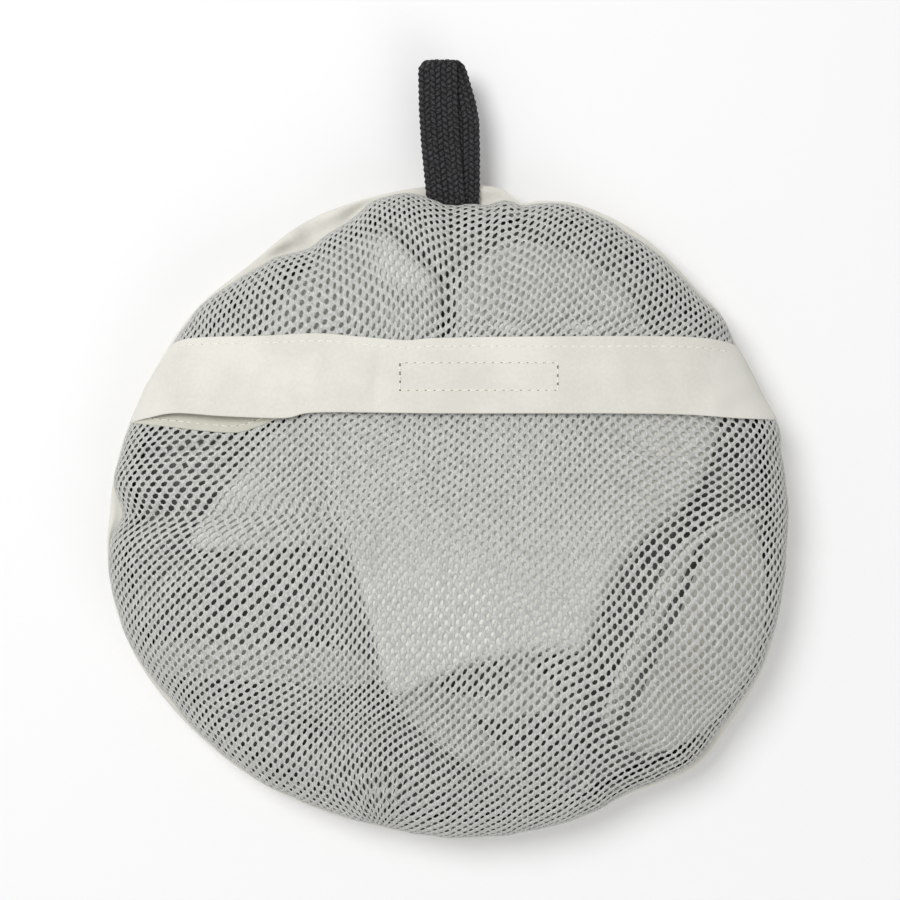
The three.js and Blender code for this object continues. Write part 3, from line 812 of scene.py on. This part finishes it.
def foldPiece(name, spec):
    # A rolled-over fold: its upper face keeps a set distance below the mesh, and its edge is round.
    ring = smoothOutline(foldOutlines[name], 10)
    middle = ring.mean(0)
    steps = np.sin(np.linspace(0.02, 1, spec["rows"]) * math.pi / 2)[:, None, None]
    place = middle + (ring - middle)[None] * steps
    u, v = place[..., 0], place[..., 1]
    depth = np.maximum(insideDepth(u, v, ring), 0)
    roll = spec["roll"] + spec.get("softer", noLift)(u, v)
    edge = np.sqrt(np.clip(1 - (1 - np.clip(depth / roll, 0, 1)) ** 2, 0, 1))
    half = spec["thick"] / 2
    here = frontAt(u, v, upperLift(u, v) * ease(v, 52, 58))
    clear = spec["clear"](u, v) + meshCloth["thick"] + 0.05
    ripple = spec["ripple"](u, v)
    centre = here[..., 2] - clear - half
    topZ = centre + half * edge - ripple * edge
    lowZ = centre - half * edge
    top = np.stack([here[..., 0], here[..., 1], topZ], -1)
    low = np.stack([here[..., 0], here[..., 1], np.minimum(lowZ, topZ - 0.15)], -1)
    verts, faces, kind = gridShell(top, low, closed=True, cap=0)
    return makePiece(name, verts, faces, [coverCloth, darkSideAndShade], "pouch",
                     spec["stands"], kind)


folds = {
    "centreFold": {
        "stands": ["packed_cloth_centre_fold"],
        "rows": 30, "roll": 2.8, "thick": 3.6,
        "softer": lambda u, v: 4.5 * ease(u, -12, 16),
        "clear": lambda u, v: 0.03 + 0.55 * ease(v + 0.25 * u, -30, 22) + 0.3 * ease(v, 24, 40),
        "ripple": lambda u, v: 0.1 * (1 + np.sin(u / 7 + v / 19)) * ease(v, -30, 10),
    },
    "leftFold": {
        "stands": ["packed_cloth_left_fold"],
        "rows": 22, "roll": 3.0, "thick": 3.2,
        "clear": lambda u, v: 0.2 + 0.9 * ease(u, -66, -40),
        "ripple": lambda u, v: 0.3 * (1 + np.sin(v / 3.2 + u / 16)),
    },
    "rightFold": {
        "stands": ["packed_cloth_right_fold"],
        "rows": 22, "roll": 3.0, "thick": 3.2,
        "softer": lambda u, v: 7.0 + 0 * u,
        "clear": lambda u, v: (1.9 + 1.2 * np.sin(u / 9 - v / 12) ** 2
                               + 4.5 * np.exp(-(alongLine(u, v, (80, -14), (60, -58))[1] / 2.3) ** 2)),
        "ripple": lambda u, v: 0.4 * (1 + np.sin(u / 4 + v / 9)),
    },
    "lowerFold": {
        "stands": ["packed_cloth_lower_fold"],
        "rows": 20, "roll": 2.6, "thick": 2.8,
        "clear": lambda u, v: 0.9 + 5.0 * ease(-alongLine(u, v, (-22, -52), (10, -83))[1], 5, 12),
        "ripple": lambda u, v: 0.2 * (1 + np.sin(u / 5)),
    },
    "topFold": {
        "stands": ["packed_cloth_top_fold"],
        "rows": 24, "roll": 3.0, "thick": 3.0,
        "clear": lambda u, v: 0.15 + 2.2 * ease(np.hypot(u + 12, v - 81), 7, 20),
        "ripple": lambda u, v: 0.2 * (1 + np.sin(u / 3.6 + v / 5)),
    },
    "topRightFold": {
        "stands": [],
        "rows": 24, "roll": 3.0, "thick": 3.0,
        "softer": lambda u, v: 9.0 * ease(v, 58, 66),
        "clear": lambda u, v: 0.1 + (3.2 + 0.8 * np.sin(u / 7 - v / 9)) * ease(v, 59, 64),
        "ripple": lambda u, v: 0.4 * (1 + np.sin(u / 3.6 + v / 5)),
    },
    "leftRoll": {
        "stands": [],
        "rows": 14, "roll": 2.4, "thick": 2.4,
        "clear": lambda u, v: 1.2 + 1.0 * np.sin(u / 8) ** 2,
        "ripple": lambda u, v: 0.2 * (1 + np.sin(u / 4)),
    },
}
corePiece = makeCore()
foldPieces = [foldPiece(name, spec) for name, spec in folds.items()]

coverEdge = {
    "path": [(50, -66), (56, -48), (63, -34), (72, -17), (84, -6), (101, 1)],
    "width": 2.6, "thick": 1.0, "round": 14,
}


def makeCoverEdge():
    # The cover's bound edge: a narrow folded tape that stands a little above the fold it is sewn to.
    path = splinePath(coverEdge["path"], 70)
    along = np.gradient(path, axis=0)
    along /= np.linalg.norm(along, axis=1, keepdims=True)
    across = np.stack([-along[:, 1], along[:, 0]], 1)
    turns = np.linspace(0, math.tau, coverEdge["round"], endpoint=False)
    side = np.cos(turns)[None, :, None] * coverEdge["width"] / 2
    place = path[:, None, :] + across[:, None, :] * side
    here = frontAt(place[..., 0], place[..., 1])
    rise = np.sin(turns)[None, :] * coverEdge["thick"] / 2
    z = here[..., 2] - meshCloth["thick"] - 1.3 + rise
    grid = np.stack([here[..., 0], here[..., 1], z], -1)
    makePiece("coverEdge", grid.reshape(-1, 3), tubeFaces(grid.shape), [coverCloth], "pouch",
              ["packed_cloth_edge_binding"])


makeCoverEdge()
print("packed cover made")


# ---- the band over the mouth
band = {"thick": 0.55, "cols": 260, "rows": 26}


def rimHalfWidth(v, sign):
    # Where the front's rim is, left or right of the middle, at a given height.
    u = np.full(v.shape, sign * 90.0)
    for _ in range(30):
        radius = frontRim(np.arctan2(v, u)) + 0.5
        u = sign * np.sqrt(np.maximum(radius ** 2 - v ** 2, 25))
    return u


def bandGrid(lowRows, topRows, cols, rows, liftAt, inset=0.0):
    t = np.linspace(-1, 1, cols)[None, :]
    k = np.linspace(0, 1, rows)[:, None]
    u = 100.0 * t + 0 * k
    for _ in range(12):
        low, top = edgeAt(u, lowRows), edgeAt(u, topRows)
        v = low + (top - low) * k
        reach = np.where(t < 0, -rimHalfWidth(v, -1), rimHalfWidth(v, 1)) - inset
        u = reach * np.sin(t * math.pi / 2)
    return frontAt(u, v, liftAt(u, v, k))


# Soft folds in the band: from, to, height, width.
bandFolds = [
    ((-62, 56), (-72, 34), -1.3, 2.2), ((-54, 55), (-66, 34), 1.0, 2.8), ((-46, 57), (-52, 36), -1.1, 2.0),
    ((-40, 56), (-42, 33), 0.8, 2.4), ((-20, 57), (-23, 34), -1.0, 1.7), ((-14, 56), (-17, 34), 0.6, 2.2),
    ((-84, 52), (-92, 34), 0.8, 3.0), ((52, 55), (56, 34), 0.5, 3.4), ((66, 54), (74, 34), -0.6, 3.0),
    ((-34, 44), (-8, 40), -0.5, 2.0), ((84, 50), (94, 34), 0.6, 3.0),
]


def topRow(u):
    return 2.5 + 0.9 * ease(u, -30, 50)


def bandLift(u, v, k):
    wrinkle = np.zeros_like(u)
    for start, end, depth, width in bandFolds:
        t, away = alongLine(u, v, start, end)
        wrinkle += depth * ease(t, -0.3, 0.3) * (1 - ease(t, 0.7, 1.3)) * np.exp(-((away / width) ** 2))
    rounded = mouth["lowLift"] + (mouth["upperLift"] + 0.4 - mouth["lowLift"]) * ease(k, -0.1, 1.0)
    stitched = -0.14 * np.exp(-((v - edgeAt(u, mouth["topEdge"]) + topRow(u)) / 0.7) ** 2)
    gapAtLeft = 3.2 * np.exp(-((u + 80) / 20) ** 2) * (1 - k)
    return rounded + 0.6 * wrinkle * np.sin(math.pi * np.clip(k, 0, 1)) + stitched + gapAtLeft


def makeStrip(name, grid, thick, cloth, body, replaced):
    # A folded strip of cloth with its upper face on the grid.
    normal = gridNormals(grid)
    normal[normal[..., 2] < 0] *= -1
    verts, faces, kind = gridShell(grid, grid - normal * thick)
    return makePiece(name, verts, faces, [cloth], body, replaced, levels=1)


bandCloth = bandGrid(mouth["lowEdge"], mouth["topEdge"], band["cols"], band["rows"], bandLift)
bandPiece = makeStrip("mouthBand", bandCloth, band["thick"], offWhite, None,
                      ["mouth_band_left", "mouth_band_centre", "mouth_band_right"])


def liftInTheMiddle(piece):
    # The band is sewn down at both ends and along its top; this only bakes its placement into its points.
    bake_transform(piece)


liftInTheMiddle(bandPiece)
print("band made")


# ---- hem of the lower panel, seen in the gap at the left, its cloth painted darker as shade from the band above
hem = {"thick": 0.5, "cols": 200, "rows": 18, "inset": 0.9, "top": [(-110, 51.9), (110, 51.9)]}


def hemLift(u, v, k):
    return 0.3 + 0.25 * np.sin(u / 7) * np.exp(-((u + 80) / 16) ** 2)


hemGrid = bandGrid(mouth["hemEdge"], hem["top"], hem["cols"], hem["rows"], hemLift, hem["inset"])
hemPiece = makeStrip("mouthHem", hemGrid, hem["thick"], shadedHemCloth, "pouch", ["mouth_hem"])


# ---- stitches
def stitchRow(name, path, surfaceAt, spec, body, replaced):
    # One lockstitch after another: a short thread that dives into the cloth at both ends.
    path = np.array(path, float)
    length = np.concatenate([[0], np.cumsum(np.hypot(*np.diff(path, axis=0).T))])
    verts, faces, kind, base = [], [], [], 0
    around, along = 8, 7
    for start in np.arange(0, length[-1] - spec["pitch"] * 0.6, spec["pitch"]):
        jitter = rng.uniform(-0.12, 0.12, 2)
        ends = start + spec["gap"] / 2 + jitter[0], start + spec["pitch"] - spec["gap"] / 2 + jitter[1]
        at = np.linspace(*ends, along)
        u, v = np.interp(at, length, path[:, 0]), np.interp(at, length, path[:, 1])
        here = surfaceAt(u, v)
        arch = np.sin(np.linspace(0, math.pi, along))
        radius = spec["radius"] * (0.45 + 0.55 * np.sqrt(arch))
        ahead = np.gradient(here, axis=0)
        ahead /= np.linalg.norm(ahead, axis=1, keepdims=True)
        up = np.array([0, 0, 1.0]) - ahead * ahead[:, 2:3]
        up /= np.linalg.norm(up, axis=1, keepdims=True)
        aside = np.cross(ahead, up)
        turns = np.linspace(0, math.tau, around, endpoint=False)
        middle = here + up * (spec["radius"] * (1.1 * arch - 0.75))[:, None]
        ring = (middle[:, None] + aside[:, None] * (np.cos(turns)[None, :, None] * radius[:, None, None])
                + up[:, None] * (np.sin(turns)[None, :, None] * radius[:, None, None]))
        verts.append(ring.reshape(-1, 3))
        n = np.arange(along * around).reshape(along, around) + base
        base += along * around
        wrap = np.concatenate([n, n[:, :1]], 1)
        quads = np.stack([wrap[:-1, :-1], wrap[1:, :-1], wrap[1:, 1:], wrap[:-1, 1:]], -1).reshape(-1, 4)
        faces += [tuple(f) for f in quads] + [tuple(n[0]), tuple(n[-1][::-1])]
        kind += [0] * (len(quads) + 2)
        for end in (0, -1):
            # the needle's hole: a small dimple painted dark as shade
            spot = here[end] + up[end] * 0.03
            wide = spec["hole"] * (2.0 if abs(ahead[end, 1]) > 0.8 else 1.0)  # wider where the row runs down
            dish = [spot + (aside[end] * math.cos(t) + ahead[end] * math.sin(t)) * wide for t in turns]
            verts.append(np.array(dish + [spot + up[end] * 0.06, spot - up[end] * 0.1]))
            for m in range(around):
                q = (m + 1) % around
                faces += [(base + m, base + around, base + q), (base + q, base + around + 1, base + m)]
                kind += [1, 1]
            base += around + 2
    return makePiece(name, np.concatenate(verts), faces, [creamThread, needleHoleShade], body,
                     replaced, kind)


def onBand(u, v):
    low, top = edgeAt(u, mouth["lowEdge"]), edgeAt(u, mouth["topEdge"])
    return frontAt(u, v, bandLift(u, v, (v - low) / (top - low)))


bandStitch = {"pitch": 2.85, "gap": 0.4, "radius": 0.23, "hole": 0.12}
span = np.linspace(-86.5, 90, 160)
topLine = np.stack([span, edgeAt(span, mouth["topEdge"]) - topRow(span)], 1)
rowOfStitches = stitchRow("bandStitches", topLine, onBand, bandStitch, None,
                          ["band_stitching_left", "band_stitching_centre", "band_stitching_right"])
liftInTheMiddle(rowOfStitches)

boxLow, boxHigh = boxOf("closure_box_stitching")
boxX = np.array([boxLow[0] + 1.0, boxHigh[0] - 0.7]) - pouch["x"]
boxY = np.array([boxLow[1] - 1.2, boxHigh[1] - 2.2]) - pouch["y"]
loopOfStitches = [(boxX[i], boxY[j]) for i, j in ((0, 0), (1, 0), (1, 1), (0, 1), (0, 0))]
stitchRow("closureStitches", loopOfStitches, onBand, dict(bandStitch, pitch=2.7, hole=0.15), "mouth_flap",
          ["closure_box_stitching"])


def onHem(u, v):
    return frontAt(u, v, 0.36)


span = np.linspace(-100, 96, 160)
hemLine = np.stack([span, edgeAt(span, mouth["hemEdge"]) + 2.3], 1)
stitchRow("hemStitches", hemLine, onHem, dict(bandStitch, radius=0.17), "pouch", ["hem_stitching"])
print("stitches made")


# ---- hook-and-loop tape behind the band
def makeTape(name, node, lift, body):
    low, high = boxOf(node)
    u = np.linspace(low[0], high[0], 60)[None, :] - pouch["x"] + np.zeros((16, 1))
    v = np.linspace(low[1], high[1], 16)[:, None] - pouch["y"] + np.zeros((1, 60))
    speckle = 0.08 * rng.standard_normal(u.shape)
    grid = frontAt(u, v, lift)
    grid[..., 2] += speckle
    base = grid.copy()
    base[..., 2] -= 0.42 + speckle
    verts, faces, kind = gridShell(grid, base)
    makePiece(name, verts, faces, [pileTape], body, [node])


makeTape("loopTape", "closure_loop_strip", 1.3, "pouch")
makeTape("hookTape", "closure_hook_strip", 1.8, "mouth_flap")
print("closure made")


# ---- rim seam inside the pouch
def makeRimRing(name, node, inset, height, thick, material):
    theta = np.linspace(0, math.tau, 240, endpoint=False)[None, :]
    turns = np.linspace(0, math.tau, 10, endpoint=False)[:, None]
    r = frontRim(theta) - inset + thick / 2 * np.cos(turns)
    z = pouch["seam"] - 1.2 + height / 2 * np.sin(turns) + 0.2 * np.sin(31 * theta)
    grid = np.stack([r * np.cos(theta) + pouch["x"], r * np.sin(theta) + pouch["y"], z + 0 * theta], -1)
    faces = tubeFaces(grid.shape, ring=True)
    makePiece(name, grid.reshape(-1, 3), faces, [material], "pouch", [node])


makeRimRing("rimBinding", "rim_seam_binding", 3.0, 4.5, 0.9, offWhite)
makeRimRing("rimStitches", "rim_stitching", 4.0, 0.5, 0.5, creamThread)


# ---- hanging loop: one braided tape folded in half, its rear leg to the right
loop = {
    "width": 12.7, "thick": 1.9, "columns": 7, "pitch": 1.95, "relief": 0.6, "across": 52, "step": 0.26,
    "front": [(97, 0.2), (101.7, -0.2), (110, -1.0), (119.6, -1.95), (131, -2.65), (144, -2.9)],
    "rear": [(97, 4.0), (100, 4.2), (106, 4.5), (118, 4.5), (127.4, 4.3), (133.6, 3.2), (144, 0.2)],
}


def braidHeight(s, w):
    # Flat braid: columns of crowns, each a short lozenge that leans one way and then the other.
    column = (w + 1) / 2 * loop["columns"]
    number = np.floor(np.clip(column, 0, loop["columns"] - 0.001))
    inColumn = column - number - 0.5
    lean = np.where(number % 2 == 0, 1, -1)
    turn = s / loop["pitch"] + lean * inColumn * 0.5 + 0.5 * (number % 2)
    inStrand = turn - np.floor(turn) - 0.5
    crown = np.clip(1 - (2 * np.abs(inStrand)) ** 2.6, 0, 1) * np.clip(1 - (2 * np.abs(inColumn)) ** 5, 0, 1)
    return np.sqrt(crown)


def makeLoop():
    seamY = 100.0                                  # where the legs come out of the seam
    tipY = loopHigh[1] - pouch["y"] - 0.3
    rootZ = pouch["seam"] + 0.9
    legs = tipY - seamY - 2.2
    gapHalf, foldR = 1.0, 1.15
    legT = np.linspace(0, 1, 40)
    foldT = np.linspace(0, math.pi, 18)[1:-1]
    legY, legZ = seamY - 3 + (legs + 3) * legT, gapHalf + (foldR - gapHalf) * ease(legT, 0, 1)
    y = np.concatenate([legY, seamY + legs + foldR * np.sin(foldT), legY[::-1]])
    z = rootZ + np.concatenate([legZ, foldR * np.cos(foldT), -legZ[::-1]])
    length = np.concatenate([[0], np.cumsum(np.hypot(np.diff(y), np.diff(z)))])
    s = np.arange(0, length[-1], loop["step"])
    y, z = np.interp(s, length, y), np.interp(s, length, z)
    share = s / length[-1]
    front, rear = np.array(loop["front"]), np.array(loop["rear"])
    middle = (np.interp(y, front[:, 0], front[:, 1]) * (1 - ease(share, 0.47, 0.53))
              + np.interp(y, rear[:, 0], rear[:, 1]) * ease(share, 0.47, 0.53))
    w = np.concatenate([np.linspace(-1, 1, loop["across"]), np.linspace(1, -1, loop["across"])[1:-1]])
    side = np.concatenate([np.ones(loop["across"]), -np.ones(loop["across"] - 2)])
    crown = braidHeight(s[:, None], w[None, :])
    profile = (1 - np.abs(w) ** 5) ** 0.6
    out = side * (0.1 + (loop["thick"] / 2 - 0.1) * profile)
    out = out[None, :] + side[None, :] * loop["relief"] * (crown - 0.6) * (0.25 + 0.75 * profile[None, :])
    rib = 0.14 * np.sin(s / loop["pitch"] * math.tau)[:, None] * np.abs(w[None, :]) ** 8
    corner = 1 - 0.05 * ease(y, tipY - 5, tipY)[:, None]
    x = middle[:, None] + w[None, :] * (loop["width"] / 2) * corner + rib * np.sign(w)[None, :]
    along = np.stack([np.gradient(y), np.gradient(z)], 1)
    along /= np.linalg.norm(along, axis=1, keepdims=True)
    grid = np.stack([x + pouch["x"], y[:, None] - along[:, 1:] * out + pouch["y"],
                     z[:, None] + along[:, :1] * out], -1)
    piece = makePiece("hangingLoop", grid.reshape(-1, 3), tubeFaces(grid.shape), [blackBraid], None,
                      ["hanging_loop"])
    # crown also paints shade into the grooves through the braid's colour
    storeValues(piece, "crown", 0.15 + 0.85 * crown)
    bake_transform(piece)


makeLoop()
print("loop made")
